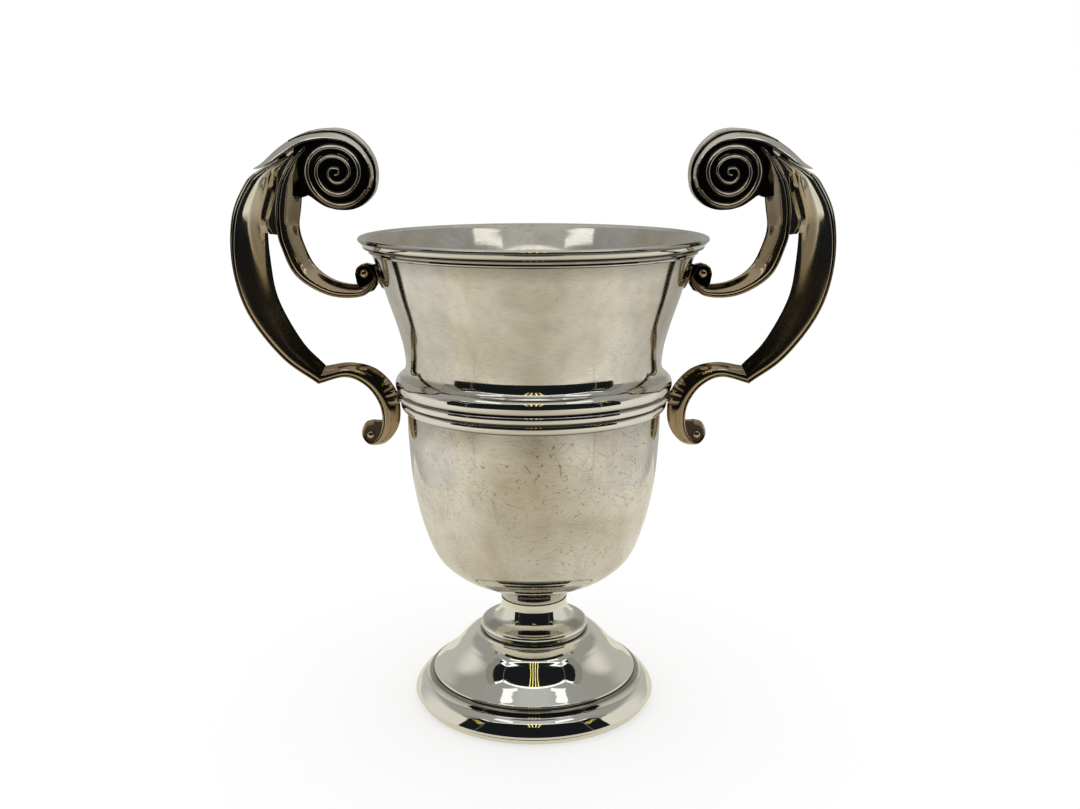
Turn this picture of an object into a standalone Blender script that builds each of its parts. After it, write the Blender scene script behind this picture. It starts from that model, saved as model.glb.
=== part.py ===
"""Two-handled trophy cup: a raised silver bowl on a turned foot, with two cast scroll handles.

Sizes are in millimetres and turn into metres when a mesh is made. The cup stands on z = 0 with its
axis on Z. The handles lie in the XZ plane, and the right one is the left one turned half a turn.
"""
import math

import bmesh
import bpy
from mathutils import Matrix, Vector

MM = 0.001
GAP = 0.3  # clearance between pieces that are soldered together

# Driving sizes of the body
LIP_RADIUS = 46.0
LIP_HEIGHT = 129.2
SHEET = 0.9  # thickness of the raised bowl sheets
FOOT_SHEET = 1.0
SEAM_HEIGHT = 91.0  # where the two bowl sheets meet, behind the girdle
STEM_BORE = 6.0
BODY_STEPS = 36
STEM_STEPS = 24

# Driving sizes of a handle, with x measured outward from the cup's axis
VOLUTE_CENTRE = (51.31, 145.8)
STRAP_HALF_DEPTH = 3.4
WEB_HALF_DEPTH = 2.45  # plate behind the strap and the ridge of the volute
FILLET_HALF_DEPTH = 1.9  # web between the limb and the C-scroll
RIB_HALF_DEPTH = 2.3
RIDGE_OUTSIDE = 0.75  # how far the ridge reaches outward from its crest
RIDGE_INSIDE = 0.55
RIDGE_END_SHARE = 0.4  # width of the ridge in the middle, beside its width at the start
BEAD_RADIUS = 1.25
C_BEAD = (44.8, 119.4)
C_BEAD_HALF_DEPTH = 2.0
S_BEAD = (44.3, 75.6)
S_BEAD_HALF_DEPTH = 2.1
PAD_HEIGHT = 118.6  # middle of the pad, above the table
PAD_HALF_HEIGHT = 3.4
PAD_HALF_WIDTH = 2.2
PAD_THICKNESS = 0.9

SILVER = (0.76, 0.74, 0.68)
HANDLE_SILVER = (0.70, 0.66, 0.57)


def smooth(knots, per_span):
    """Points on a Catmull-Rom curve through the knots, which are tuples of any length."""
    points = []
    last = len(knots) - 1
    for span in range(last):
        p1 = knots[span]
        p2 = knots[span + 1]
        p0 = knots[span - 1] if span > 0 else [2 * a - b for a, b in zip(p1, p2)]
        p3 = knots[span + 2] if span + 2 <= last else [2 * b - a for a, b in zip(p1, p2)]
        for step in range(per_span):
            t = step / per_span
            points.append(tuple(
                0.5 * (2 * b + (c - a) * t + (2 * a - 5 * b + 4 * c - d) * t ** 2
                       + (3 * b - a - 3 * c + d) * t ** 3)
                for a, b, c, d in zip(p0, p1, p2, p3)))
    points.append(tuple(knots[-1]))
    return points


def offset(curve, distance):
    """The curve of (r, z) points moved toward the axis, square to itself."""
    moved = []
    for index, (r, z) in enumerate(curve):
        before = curve[max(index - 1, 0)]
        after = curve[min(index + 1, len(curve) - 1)]
        dr = after[0] - before[0]
        dz = after[1] - before[1]
        length = math.hypot(dr, dz)
        moved.append((max(r + dz / length * distance, 0.0), z - dr / length * distance))
    return moved


def new_object(name, mesh, collection):
    """An object in the given collection that shows the mesh."""
    thing = bpy.data.objects.new(name, mesh)
    collection.objects.link(thing)
    return thing


def silver(name, colour, roughness):
    """A polished or worn silver material."""
    material = bpy.data.materials.new(name)
    material.use_nodes = True
    shader = material.node_tree.nodes["Principled BSDF"]
    shader.inputs["Base Color"].default_value = (*colour, 1.0)
    shader.inputs["Metallic"].default_value = 1.0
    shader.inputs["Roughness"].default_value = roughness
    return material


def turned(name, outline, closed, steps, collection, material):
    """A turned piece: an (r, z) outline, its outer side running down, screwed round the Z axis."""
    mesh = bpy.data.meshes.new(name)
    edges = [(index, index + 1) for index in range(len(outline) - 1)]
    if closed:
        edges.append((len(outline) - 1, 0))
    mesh.from_pydata([(r * MM, 0.0, z * MM) for r, z in outline], edges, [])
    mesh.materials.append(material)
    piece = new_object(name, mesh, collection)
    screw = piece.modifiers.new("turn", "SCREW")
    screw.angle = 2.0 * math.pi
    screw.steps = steps
    screw.render_steps = steps
    screw.use_merge_vertices = True
    screw.merge_threshold = 0.00001
    screw.use_smooth_shade = True
    return piece


def limb_section(thickness, rail):
    """Half of a limb's section: (inset from the outer edge, share of the half depth) pairs.

    It runs from the flute in the outward face, over the rail along the edge and the groove behind
    it, over a flat crest and down the long facet to the middle of the back.
    """
    groove = 1.2 * rail
    body = thickness - groove
    return [
        (0.25 * rail, 0.0),
        (0.0, 0.78),
        (0.6 * rail, 0.98),
        (groove, 0.87),
        (groove + 0.09 * body, 1.0),
        (groove + 0.28 * body, 0.93),
        (groove + 0.82 * body, 0.33),
        (thickness, 0.0),
    ]


# Half sections of the strap, the rib on it and the volute's ridge, from the outer to the inner
# edge: (share of the thickness, share of the half depth)
STRAP_SECTION = [(0.0, 0.0), (0.0, 0.6), (0.14, 0.69), (0.66, 0.92), (0.9, 1.0), (1.0, 0.84),
                 (1.0, 0.0)]
RIB_SECTION = [(0.0, 0.0), (0.05, 0.65), (0.4, 1.0), (0.75, 0.95), (1.0, 0.5), (1.0, 0.0)]
RIDGE_SECTION = [(0.0, 0.0), (0.0, 0.76), (0.55, 1.0), (1.0, 0.76), (1.0, 0.0)]


def ring_of(place, half_depth, half):
    """The closed section at a place, which is outer x, z, inner x, z, from its half section."""
    outer = Vector((place[0], 0.0, place[1]))
    inner = Vector((place[2], 0.0, place[3]))
    inward = (inner - outer).normalized()
    front = [outer + inward * inset + Vector((0.0, -share * half_depth, 0.0))
             for inset, share in half]
    back = [Vector((point.x, -point.y, point.z)) for point in front[-2:0:-1]]
    return front + back


def lofted(name, rings):
    """A closed mesh lofted through the sections, with flat ends."""
    shape = bmesh.new()
    rings = [[shape.verts.new(point * MM) for point in ring] for ring in rings]
    for ring, following in zip(rings, rings[1:]):
        count = len(ring)
        for index in range(count):
            after = (index + 1) % count
            shape.faces.new((ring[index], ring[after], following[after], following[index]))
    shape.faces.new(rings[0])
    shape.faces.new(rings[-1])
    bmesh.ops.recalc_face_normals(shape, faces=shape.faces)
    return finished(name, shape)


def limb_rings(stations):
    """Sections of a limb: each station is outer x, z, inner x, z, half depth and rail width."""
    rings = []
    for station in stations:
        thickness = math.hypot(station[2] - station[0], station[3] - station[1])
        half = limb_section(thickness, station[5])
        rings.append(ring_of(station[:4], station[4], half))
    return rings


def band_rings(places, half_depth, section):
    """Sections of the strap, the rib or the ridge, with their widths in shares of the thickness."""
    rings = []
    for place in places:
        thickness = math.hypot(place[2] - place[0], place[3] - place[1])
        half = [(inset * thickness, share) for inset, share in section]
        rings.append(ring_of(place, half_depth, half))
    return rings


def plate_mesh(name, outline, half_depth):
    """A flat plate across the XZ plane with the given outline of (x, z) points."""
    shape = bmesh.new()
    near = [shape.verts.new((x * MM, -half_depth * MM, z * MM)) for x, z in outline]
    face = shape.faces.new(near)
    swept = bmesh.ops.extrude_face_region(shape, geom=[face])
    moved = [item for item in swept["geom"] if isinstance(item, bmesh.types.BMVert)]
    bmesh.ops.translate(shape, verts=moved, vec=(0.0, 2.0 * half_depth * MM, 0.0))
    bmesh.ops.recalc_face_normals(shape, faces=shape.faces)
    return finished(name, shape)


def finished(name, shape):
    """A smooth-shaded mesh made from the bmesh, with edges over 50 degrees left sharp."""
    mesh = bpy.data.meshes.new(name)
    shape.to_mesh(mesh)
    shape.free()
    mesh.shade_smooth()
    mesh.set_sharp_from_angle(angle=math.radians(50.0))
    return mesh


def bowl_upper_wall():
    """Outer side of the flared upper sheet, from the lip down to the cove's edge."""
    return [(44.5, 129.0), (42.6, 125.2), (40.7, 120.2), (38.7, 113.5), (36.5, 106.9),
            (34.9, 101.5), (34.3, 97.6), (34.6, 95.2), (35.4, 93.5), (36.5, SEAM_HEIGHT + 1.0)]


def make_bowl_upper(collection, material):
    wall = bowl_upper_wall()
    inside = [(r - SHEET, z) for r, z in wall if z > 96.0]
    straight = inside[-1][0]
    foot = SEAM_HEIGHT + GAP
    outline = wall + [(36.7, foot), (straight, foot)] + inside[::-1]
    turned("bowl_upper", outline, True, BODY_STEPS, collection, material)


def make_rim_moulding(collection, material):
    """A concave band over a small bead, wrapped round the lip outside the sheet."""
    band = [(LIP_RADIUS - 0.5, LIP_HEIGHT), (LIP_RADIUS, LIP_HEIGHT - 0.4), (45.4, 128.2),
            (44.3, 126.9), (43.6, 126.1), (43.75, 125.6), (43.4, 125.1)]
    sheet_side = [(r + GAP, z) for r, z in bowl_upper_wall() if 125.0 < z]
    outline = band + sheet_side[::-1]
    outline[-1] = (sheet_side[0][0], LIP_HEIGHT)
    turned("rim_moulding", outline, True, BODY_STEPS, collection, material)


def make_girdle(collection, material):
    """A ridge over two reeds, covering the seam between the two sheets."""
    inner = 34.2 + GAP
    outline = [(37.05, SEAM_HEIGHT), (37.35, 89.9), (37.1, 89.1), (36.5, 88.6), (36.85, 87.9),
               (36.5, 86.9), (35.4, 86.15), (35.75, 85.5), (35.6, 84.4), (34.9, 83.4),
               (inner, 83.2), (inner, SEAM_HEIGHT)]
    turned("girdle_moulding", outline, True, BODY_STEPS, collection, material)


def make_bowl_lower(collection, material):
    outside = [(34.05, 77.1), (33.2, 65.1), (31.2, 54.3), (28.2, 45.2), (23.6, 39.1),
               (17.6, 35.4), (10.6, 33.3), (0.0, 32.6)]
    inside = offset(outside, SHEET)
    inside[-1] = (0.0, inside[-1][1])
    outline = inside[::-1] + [(34.2 - SHEET, SEAM_HEIGHT), (34.2, SEAM_HEIGHT)] + outside
    turned("bowl_lower", outline, False, BODY_STEPS, collection, material)


def make_stem(collection, material):
    collar = [(9.9, 32.7), (10.3, 32.5), (9.65, 31.2), (9.25, 30.0), (9.0, 29.2),
              (STEM_BORE, 29.2), (STEM_BORE, 32.4)]
    turned("stem_collar", collar, True, STEM_STEPS, collection, material)
    flare = [(9.2, 28.9), (9.1, 27.6), (9.8, 25.3), (11.7, 22.9), (14.1, 22.1)]
    flange = [(14.9, 21.4), (14.7, 20.2), (14.4, 19.5)]
    spool = flare + flange + [(STEM_BORE, 19.5), (STEM_BORE, 28.9)]
    turned("stem_spool", spool, True, STEM_STEPS, collection, material)


def make_foot(collection, dome_material, base_material):
    """The ogee dome, the stepped base ring below it and the wire that the cup stands on."""
    top = 19.2
    dome = [(15.4, top), (17.6, 18.5), (19.1, 17.4), (21.4, 14.4), (22.5, 13.05), (24.0, 12.0),
            (27.0, 9.9), (28.2, 8.8), (28.3, 8.0)]
    under = offset(dome[::2], FOOT_SHEET)
    under[-1] = (under[-1][0], 8.0)
    under[0] = (under[0][0], top - FOOT_SHEET)
    outline = [(STEM_BORE, top)] + dome + under[::-1] + [(STEM_BORE, top - FOOT_SHEET)]
    turned("foot_dome", outline, True, BODY_STEPS, collection, dome_material)

    base = [(27.2, 7.7), (29.4, 7.7), (29.9, 7.0), (30.9, 6.1), (32.4, 4.6), (33.4, 3.0),
            (33.5, 2.3), (33.2, 1.9), (32.0, 1.9), (31.7, 3.6), (29.2, 5.9), (27.2, 6.7)]
    turned("foot_base", base, True, BODY_STEPS, collection, base_material)

    wire = [(31.9, 1.6), (32.5, 1.1), (32.4, 0.35), (31.8, 0.0), (30.6, 0.0), (30.3, 0.6),
            (30.7, 1.6)]
    turned("foot_rim_wire", wire, True, BODY_STEPS, collection, base_material)


def limb_stations():
    """The long limb, from the mitre at its foot up to its thin end under the strap."""
    return smooth([
        (58.7, 89.9, 56.5, 94.6, 2.5, 0.75),
        (67.25, 97.2, 62.0, 101.2, 3.2, 0.75),
        (75.55, 109.25, 67.7, 112.3, 3.9, 0.72),
        (78.95, 121.9, 69.4, 122.3, 4.4, 0.72),
        (78.15, 134.5, 69.6, 132.8, 4.4, 0.95),
        (74.3, 143.2, 67.3, 141.5, 4.1, 1.1),
        (70.9, 146.0, 66.4, 144.7, 3.6, 0.8),
        (67.6, 147.5, 65.1, 146.8, 3.2, 0.45),
        (63.9, 149.6, 63.2, 149.0, 2.7, 0.1)], 2)


def on_volute(angle, radius):
    """The (x, z) point at an angle in degrees, from the top toward the cup, and a radius."""
    return (VOLUTE_CENTRE[0] - radius * math.sin(math.radians(angle)),
            VOLUTE_CENTRE[1] + radius * math.cos(math.radians(angle)))


# The strap before it reaches the volute, as outer x, z and inner x, z
STRAP_LEAF = [(72.3, 146.75, 71.9, 146.5), (70.3, 148.0, 69.5, 147.25),
              (68.0, 150.05, 67.3, 148.2), (65.8, 151.9, 64.5, 150.05),
              (62.8, 153.9, 61.2, 152.15), (57.3, 155.6, 56.3, 153.8)]

# Angle in degrees, outer radius and crest radius of the strap round the volute
STRAP_TURN = [(4, 10.1, 7.95), (33, 9.7, 8.05), (60, 9.75, 8.3), (82, 10.3, 8.65),
              (101, 10.5, 8.95), (130, 10.5, 9.0), (160, 9.85, 8.4), (175, 9.4, 8.0)]

# Radius of the ridge's crest, by steps of 30 degrees from the strap's end inward
RIDGE_START = 150
RIDGE_CREST = [9.15, 8.5, 7.6, 7.15, 7.15, 7.1, 6.8, 6.4, 6.3, 6.3, 6.3, 6.25, 6.1, 5.75, 5.2,
               4.85, 4.8, 4.65, 4.3, 3.95, 3.9, 3.95, 3.9, 3.4, 3.05, 2.7, 2.25, 1.9, 1.6, 1.4,
               1.15, 0.95, 1.1, 1.2, 1.15, 1.0]

# Silhouette of the volute past the rib's end, as angle and radius
VOLUTE_EDGE = [(105, 10.3), (110, 11.0), (123, 11.2), (145, 10.9), (167, 10.1), (181, 9.6),
               (195, 9.35), (212, 9.05), (225, 9.1), (231, 9.4)]


def strap_places():
    """The strap, from its leaf tip on the limb's back, over the top and round the volute."""
    turn = [(*on_volute(angle, outer), *on_volute(angle, inner))
            for angle, outer, inner in STRAP_TURN]
    return smooth(STRAP_LEAF + turn, 2)


def ridge_places():
    """The spiral ridge, from under the strap's end to the curl in the middle."""
    places = []
    last = RIDGE_START + 30.0 * (len(RIDGE_CREST) - 1)
    for step, crest in enumerate(RIDGE_CREST):
        angle = RIDGE_START + 30.0 * step
        size = 1.0 - (1.0 - RIDGE_END_SHARE) * (angle - RIDGE_START) / (last - RIDGE_START)
        outer = on_volute(angle, crest + RIDGE_OUTSIDE * size)
        inner = on_volute(angle, crest - RIDGE_INSIDE * size)
        places.append((*outer, *inner))
    return places


def volute_outline():
    """Outline of the plate behind the strap and the ridge, out to its fillet at the C-scroll."""
    under_strap = 9.2
    edge = [on_volute(angle, under_strap) for angle in range(0, 95, 15)]
    edge += [on_volute(angle, radius) for angle, radius in VOLUTE_EDGE]
    return edge + [(59.3, 139.7), (60.0, 139.4), (59.9, 142.0), (59.5, 145.3), (59.3, 148.2),
                   (57.6, 151.2), (57.8, 152.0), (58.6, 152.6), (60.6, 152.35), (62.3, 150.95),
                   (63.4, 150.1), (64.0, 151.0), (60.0, 154.0), (57.2, 154.6), (54.0, 154.6)]


def fillet_outline():
    """Outline of the web between the C-scroll and the limb, from the strap down to the notch."""
    return [(66.4, 130.3), (67.1, 130.75), (67.9, 130.75), (68.9, 131.3), (69.2, 132.8),
            (66.9, 141.4), (66.0, 144.6), (64.7, 146.6), (62.8, 148.8), (61.9, 150.5),
            (60.4, 151.9), (59.6, 151.6), (60.8, 147.5), (62.8, 143.5), (64.0, 137.0),
            (64.2, 131.8)]


def ball_mesh(name, centre, radius, half_depth):
    """A round boss that stands proud on both faces of the handle."""
    shape = bmesh.new()
    place = Matrix.Translation(Vector((centre[0], 0.0, centre[1])) * MM)
    stretch = Matrix.Diagonal((radius * MM, half_depth * MM, radius * MM, 1.0))
    turn = Matrix.Rotation(math.radians(90.0), 4, "X")
    bmesh.ops.create_uvsphere(shape, u_segments=10, v_segments=6, radius=1.0,
                              matrix=place @ stretch @ turn)
    return finished(name, shape)


# The thumb rib before it reaches the volute, and then by angle and outer radius
RIB_RISE = [(62.9, 154.3, 62.85, 154.25), (61.0, 155.2, 60.85, 155.05),
            (57.7, 156.3, 57.5, 155.95), (54.9, 156.7, 54.8, 156.25)]
RIB_TURN = [(3, 11.2, 10.15), (15, 11.1, 9.95), (27, 11.0, 9.8), (39, 10.85, 9.75),
            (52, 10.75, 9.75), (65, 10.75, 9.95), (79, 10.9, 10.3), (91, 11.0, 10.45),
            (102, 11.1, 10.55)]


def rib_places():
    """The thumb rib on the strap's back, from over the limb round to the cup's side."""
    turn = [(*on_volute(angle, outer), *on_volute(angle, inner + GAP))
            for angle, outer, inner in RIB_TURN]
    return RIB_RISE + turn


def c_scroll_stations():
    """The inner C-scroll, from its tip between limb and volute down to its curl at the bowl."""
    return smooth([
        (58.9, 152.1, 58.2, 151.5, 2.8, 0.2),
        (61.5, 149.6, 59.9, 148.6, 2.95, 0.45),
        (63.9, 146.4, 60.1, 145.4, 3.1, 0.75),
        (66.9, 137.0, 60.8, 136.9, 3.6, 0.85),
        (66.9, 131.5, 61.4, 131.8, 3.6, 0.85),
        (66.0, 126.6, 60.4, 127.2, 3.5, 0.85),
        (62.4, 118.8, 57.6, 121.4, 3.2, 0.8),
        (54.15, 113.7, 52.6, 117.7, 2.7, 0.7),
        (45.4, 113.4, 46.6, 116.6, 2.1, 0.6),
        (41.6, 117.3, 43.1, 118.4, 1.75, 0.35),
        (42.55, 120.4, 43.2, 120.1, 1.65, 0.2),
        (44.4, 121.9, 44.4, 121.1, 1.6, 0.2),
        (46.5, 121.1, 45.8, 120.7, 1.6, 0.2),
        (47.2, 119.2, 46.3, 119.4, 1.6, 0.2)], 2)


def s_scroll_stations():
    """The lower S-scroll, from the mitre past the girdle to its curl."""
    return smooth([
        (58.35, 89.8, 56.2, 94.45, 2.5, 0.75),
        (50.5, 91.65, 48.9, 95.4, 2.4, 0.65),
        (45.05, 89.1, 42.0, 93.4, 2.3, 0.65),
        (41.7, 84.1, 37.0, 87.2, 2.2, 0.65),
        (41.1, 78.7, 36.5, 78.9, 2.1, 0.6),
        (42.5, 74.8, 40.0, 73.4, 1.85, 0.4),
        (44.6, 73.5, 44.4, 72.5, 1.7, 0.25),
        (46.1, 75.4, 46.9, 75.4, 1.6, 0.2),
        (45.3, 77.8, 45.8, 78.8, 1.6, 0.2),
        (43.4, 78.5, 43.3, 79.7, 1.6, 0.2)], 2)


def wall_radius(height):
    """Radius of the upper sheet's outer side at a height."""
    wall = bowl_upper_wall()
    for (r0, z0), (r1, z1) in zip(wall, wall[1:]):
        if z1 <= height <= z0:
            return r0 + (r1 - r0) * (z0 - height) / (z0 - z1)
    return wall[0][0]


def pad_mesh():
    """An oval patch bent to the bowl's wall, which a modifier makes solid."""
    shape = bmesh.new()
    spokes = 12
    rings = []
    for share in (0.0, 0.6, 1.0):
        count = 1 if share == 0.0 else spokes
        ring = []
        for spoke in range(count):
            angle = 2.0 * math.pi * spoke / spokes
            y = share * PAD_HALF_WIDTH * math.cos(angle)
            z = PAD_HEIGHT + share * PAD_HALF_HEIGHT * math.sin(angle)
            radius = wall_radius(z) + GAP
            x = math.sqrt(radius * radius - y * y)
            ring.append(shape.verts.new(Vector((x, y, z)) * MM))
        rings.append(ring)
    for spoke in range(spokes):
        after = (spoke + 1) % spokes
        shape.faces.new((rings[0][0], rings[1][spoke], rings[1][after]))
        shape.faces.new((rings[1][spoke], rings[2][spoke], rings[2][after], rings[1][after]))
    for face in shape.faces:
        face.normal_update()
        if face.normal.x < 0.0:
            face.normal_flip()
    return finished("wall_pad", shape)


def joined(name, meshes, cutters):
    """One closed mesh from several that overlap."""
    first, *rest = [new_object(name + "_part", mesh, cutters) for mesh in meshes]
    for tool in rest:
        union = first.modifiers.new("join", "BOOLEAN")
        union.operation = "UNION"
        union.solver = "EXACT"
        union.object = tool
    graph = bpy.context.evaluated_depsgraph_get()
    mesh = bpy.data.meshes.new_from_object(first.evaluated_get(graph))
    mesh.name = name
    return mesh


def make_handle_meshes(cutters):
    """The meshes of one handle, lying outward along +X, by piece name."""
    volute = joined("volute_scroll", [
        lofted("strap", band_rings(strap_places(), STRAP_HALF_DEPTH, STRAP_SECTION)),
        plate_mesh("volute_plate", volute_outline(), WEB_HALF_DEPTH),
        lofted("ridge", band_rings(ridge_places(), STRAP_HALF_DEPTH, RIDGE_SECTION))], cutters)
    c_scroll = joined("c_scroll", [
        lofted("c_scroll_limb", limb_rings(c_scroll_stations())),
        plate_mesh("fillet", fillet_outline(), FILLET_HALF_DEPTH)], cutters)
    return {
        "handle_limb": lofted("handle_limb", limb_rings(limb_stations())),
        "volute_scroll": volute,
        "thumb_rib": lofted("thumb_rib", band_rings(rib_places(), RIB_HALF_DEPTH, RIB_SECTION)),
        "c_scroll": c_scroll,
        "c_scroll_bead": ball_mesh("c_scroll_bead", C_BEAD, BEAD_RADIUS, C_BEAD_HALF_DEPTH),
        "s_scroll": lofted("s_scroll", limb_rings(s_scroll_stations())),
        "s_scroll_bead": ball_mesh("s_scroll_bead", S_BEAD, BEAD_RADIUS, S_BEAD_HALF_DEPTH),
        "wall_pad": pad_mesh(),
    }


def make_handles(collection, cutters, material):
    """Both handles: each piece's mesh is shared by a left and a right object."""
    meshes = make_handle_meshes(cutters)
    for piece_name, mesh in meshes.items():
        mesh.materials.clear()
        mesh.materials.append(material)
        for side, turn in (("right", 0.0), ("left", math.pi)):
            piece = new_object(side + "_" + piece_name, mesh, collection)
            piece.rotation_euler.z = turn
            if piece_name == "wall_pad":
                thick = piece.modifiers.new("thickness", "SOLIDIFY")
                thick.thickness = PAD_THICKNESS * MM
                thick.offset = 1.0


def main():
    for old in list(bpy.data.objects):
        bpy.data.objects.remove(old, do_unlink=True)
    cup = bpy.data.collections.new("trophy_cup")
    cutters = bpy.data.collections.new("cutters")
    for collection in (cup, cutters):
        bpy.context.scene.collection.children.link(collection)

    body = silver("body_silver", SILVER, 0.22)
    bright = silver("bright_silver", SILVER, 0.10)
    cast = silver("handle_silver", HANDLE_SILVER, 0.18)

    make_rim_moulding(cup, bright)
    make_bowl_upper(cup, body)
    make_girdle(cup, bright)
    make_bowl_lower(cup, body)
    make_stem(cup, bright)
    make_foot(cup, bright, bright)
    make_handles(cup, cutters, cast)

    for guide in cutters.objects:
        guide.hide_render = True
        guide.display_type = "WIRE"


main()
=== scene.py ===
"""Looks of the two-handled trophy cup: fine surfaces, worn silver, a light tent and the camera.

Every visible piece is a fine mesh that stands for the CAD node of the same name. Sizes are in
millimetres and turn into metres when a mesh is made, and materials measure the cup in metres. The
cup stands on z = 0 with its axis on Z.
"""
import math

import bmesh
import bpy
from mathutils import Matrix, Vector


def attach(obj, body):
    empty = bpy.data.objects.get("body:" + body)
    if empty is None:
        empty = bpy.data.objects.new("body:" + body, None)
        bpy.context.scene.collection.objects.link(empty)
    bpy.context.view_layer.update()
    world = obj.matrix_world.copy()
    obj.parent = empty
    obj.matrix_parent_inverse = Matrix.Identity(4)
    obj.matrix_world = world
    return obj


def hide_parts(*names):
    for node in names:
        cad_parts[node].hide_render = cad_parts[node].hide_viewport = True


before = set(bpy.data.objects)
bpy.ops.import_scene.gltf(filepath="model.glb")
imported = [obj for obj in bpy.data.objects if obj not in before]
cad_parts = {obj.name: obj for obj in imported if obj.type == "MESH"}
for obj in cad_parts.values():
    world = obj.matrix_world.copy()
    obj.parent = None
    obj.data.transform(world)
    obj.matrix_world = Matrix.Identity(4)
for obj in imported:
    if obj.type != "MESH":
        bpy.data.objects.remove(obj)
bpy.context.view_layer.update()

MM = 0.001

# Body, heights above the table
LIP_HEIGHT = 129.2
SHEET = 0.9
FOOT_SHEET = 1.0
SEAM_HEIGHT = 91.0
STEM_BORE = 6.0
TURN_STEPS = 240
ROUND_STEPS = 48  # round a bead or a pad
POLE = 0.001  # a ring that is no wider is one point
SHARP_EDGE = 40.0  # degrees

# Handles, with x measured outward from the cup's axis
VOLUTE_CENTRE = (51.31, 145.8)
STRAP_HALF_DEPTH = 3.4
PLATE_HALF_DEPTH = 2.45
# Darkness of the volute's plate, a painted shade in the recess behind the strap and the ridge
PLATE_PAINTED_SHADE = 1.0
WEB_HALF_DEPTH = 1.7
BEAD_RADIUS = 1.25
BEAD_TARNISH = 0.1
BEAD_DOME = 0.9  # height of its domed ends, in radii
C_BEAD = (44.8, 119.4)
C_BEAD_HALF_DEPTH = 2.0
S_BEAD = (44.3, 75.6)
S_BEAD_HALF_DEPTH = 2.1
CURL_HALF_DEPTH = 1.2
# Darkness of the curls' plates, a painted shade
CURL_PAINTED_SHADE = 1.1
RIB_HALF_DEPTH = 2.3
SPAN_STEPS = 10  # loft sections between two stations

# Pad under the C-scroll's curl: shares of the half size and of the thickness, and tarnish, with
# painted shade under the curl
PAD_HEIGHT = 118.6
PAD_HALF_HEIGHT = 3.4
PAD_HALF_WIDTH = 2.2
PAD_THICKNESS = 1.15
PAD_OUTLINE = [(0.0, 1.0, 0.4), (0.55, 1.0, 0.4), (0.82, 0.95, 0.4), (0.94, 0.8, 0.9),
               (1.0, 0.5, 0.9), (1.0, 0.0, 0.9), (0.0, 0.0, 0.4)]

# Finish of the silver, with noise as scales and as the values between which a thing grows
# Colour of the tarnish in grooves and of painted shade, and how much of it a point's value brings
TARNISH_AND_SHADE_COLOUR = (0.07, 0.055, 0.045)
TARNISH_AND_SHADE_HOLD = 0.95
DRIFT_SCALE = 38.0
DRIFT_NOISE = (0.38, 0.68)
STAIN_ROUGHNESS = 0.8  # added where it is stained, as a share of the roughness
HAIR_SCALE = 900.0
HAIRS = [((1.0, 1.0, 14.0), (0.2, 0.1, 0.0)), ((9.0, 9.0, 1.0), (0.5, 0.1, 0.4))]  # stretch, turn

# Marks on the two sheets of the bowl, which are rolled out flat at one radius and bent a little
MARK_COLOUR = (0.25, 0.21, 0.155)
SHEET_RADIUS = 36.0
BEND_SCALE = 45.0
BEND = (0.012, 0.012, 0.0)
PATCH_SCALE = 34.0
PATCH_NOISE = (0.38, 0.66)
PATCH_LEAST = 0.15
PATCH_SEED = 3.0  # added to the sheet's own
AXIS_FADE = (0.014, 0.024)
GIRDLE_FADE = (0.098, 0.088)
ABOVE_GIRDLE = 0.35
FAINT_MARK = 0.55  # marks that start at a lower noise value than this lie evenly over the sheet
SLANT_SEED = 10.0  # added for each radian of a mark's slant

# The marks: slant, stretch, scale, noise values at which one starts and is full, and strength
SHEET_MARKS = [
    (0.02, 12.0, 420.0, 0.38, 0.72, 0.24), (0.2, 1.5, 24.0, 0.46, 0.70, 0.32),
    (0.1, 1.0, 170.0, 0.45, 0.70, 0.18), (-0.05, 30.0, 120.0, 0.65, 0.69, 0.8),
    (0.5, 34.0, 90.0, 0.66, 0.69, 1.0), (-0.75, 34.0, 80.0, 0.66, 0.69, 1.0),
    (1.2, 30.0, 120.0, 0.66, 0.69, 1.0), (0.75, 14.0, 330.0, 0.66, 0.70, 1.0),
    (-0.2, 12.0, 420.0, 0.66, 0.70, 1.0), (0.3, 1.4, 760.0, 0.60, 0.68, 0.9)]

# Cast handles: heights, and distances out from the axis, between which the painted reflection of
# the warm table and the duller limb change
LOW_REFLECTION_COLOUR = (0.60, 0.49, 0.35)
LOW_HEIGHTS = (0.156, 0.128)
LOW_WANDER = 0.03
INNER_SCROLLS = (0.070, 0.066)
INNER_SHIFT = -0.016
DULL_LIMB = (0.059, 0.068)
DULL_HEIGHTS = (0.130, 0.112)
DULL_ROUGHNESS = 0.11

# Light tent round the cup, open to a dim room in front
TENT_HEIGHT = 240.0
TENT_FRONT = -127.0
TENT_BACK = 190.0
TENT_SIDE = 170.0
TENT_SIDE_FRONT = -40.0
TENT_MOUTH = 152.0
TENT_HEM = 13.0
TENT_SIDE_HEM = 30.0
HEM_OVERLAP = 3.0
HEM_CORNER = 20.0  # behind the mouth
HEM_LIGHT = 1.25
TENT_POST = 2.5
POST_LIGHT = 0.3
CLOTH_COLOUR = (1.0, 1.0, 0.97)
CEILING_LIGHT = (30.0, 110.0, 0.5, 0.33)  # between two distances x, and the strength at each
CEILING_PATCH = [(56, -82), (66, -106), (114, -64), (92, -46)]
PATCH_DROP = 1.0
PATCH_LIGHT = 1.15
WALL_COLOUR = (1.0, 0.97, 0.88)
WALL_LIGHT = (30.0, 130.0, 0.72, 0.5)  # between two distances y, and the strength at each
WALL_TOP_LIGHT = (90.0, 145.0, 0.33)  # between two heights, and the strength above
ROOM_RADIUS = 460.0
ROOM_HEIGHT = 600.0
ROOM_STEPS = 32
ROOM_COLOUR = (0.8, 0.9, 1.0)
ROOM_LIGHT = 0.012
LAMP_COLOUR = (1.0, 0.86, 0.25)
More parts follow.
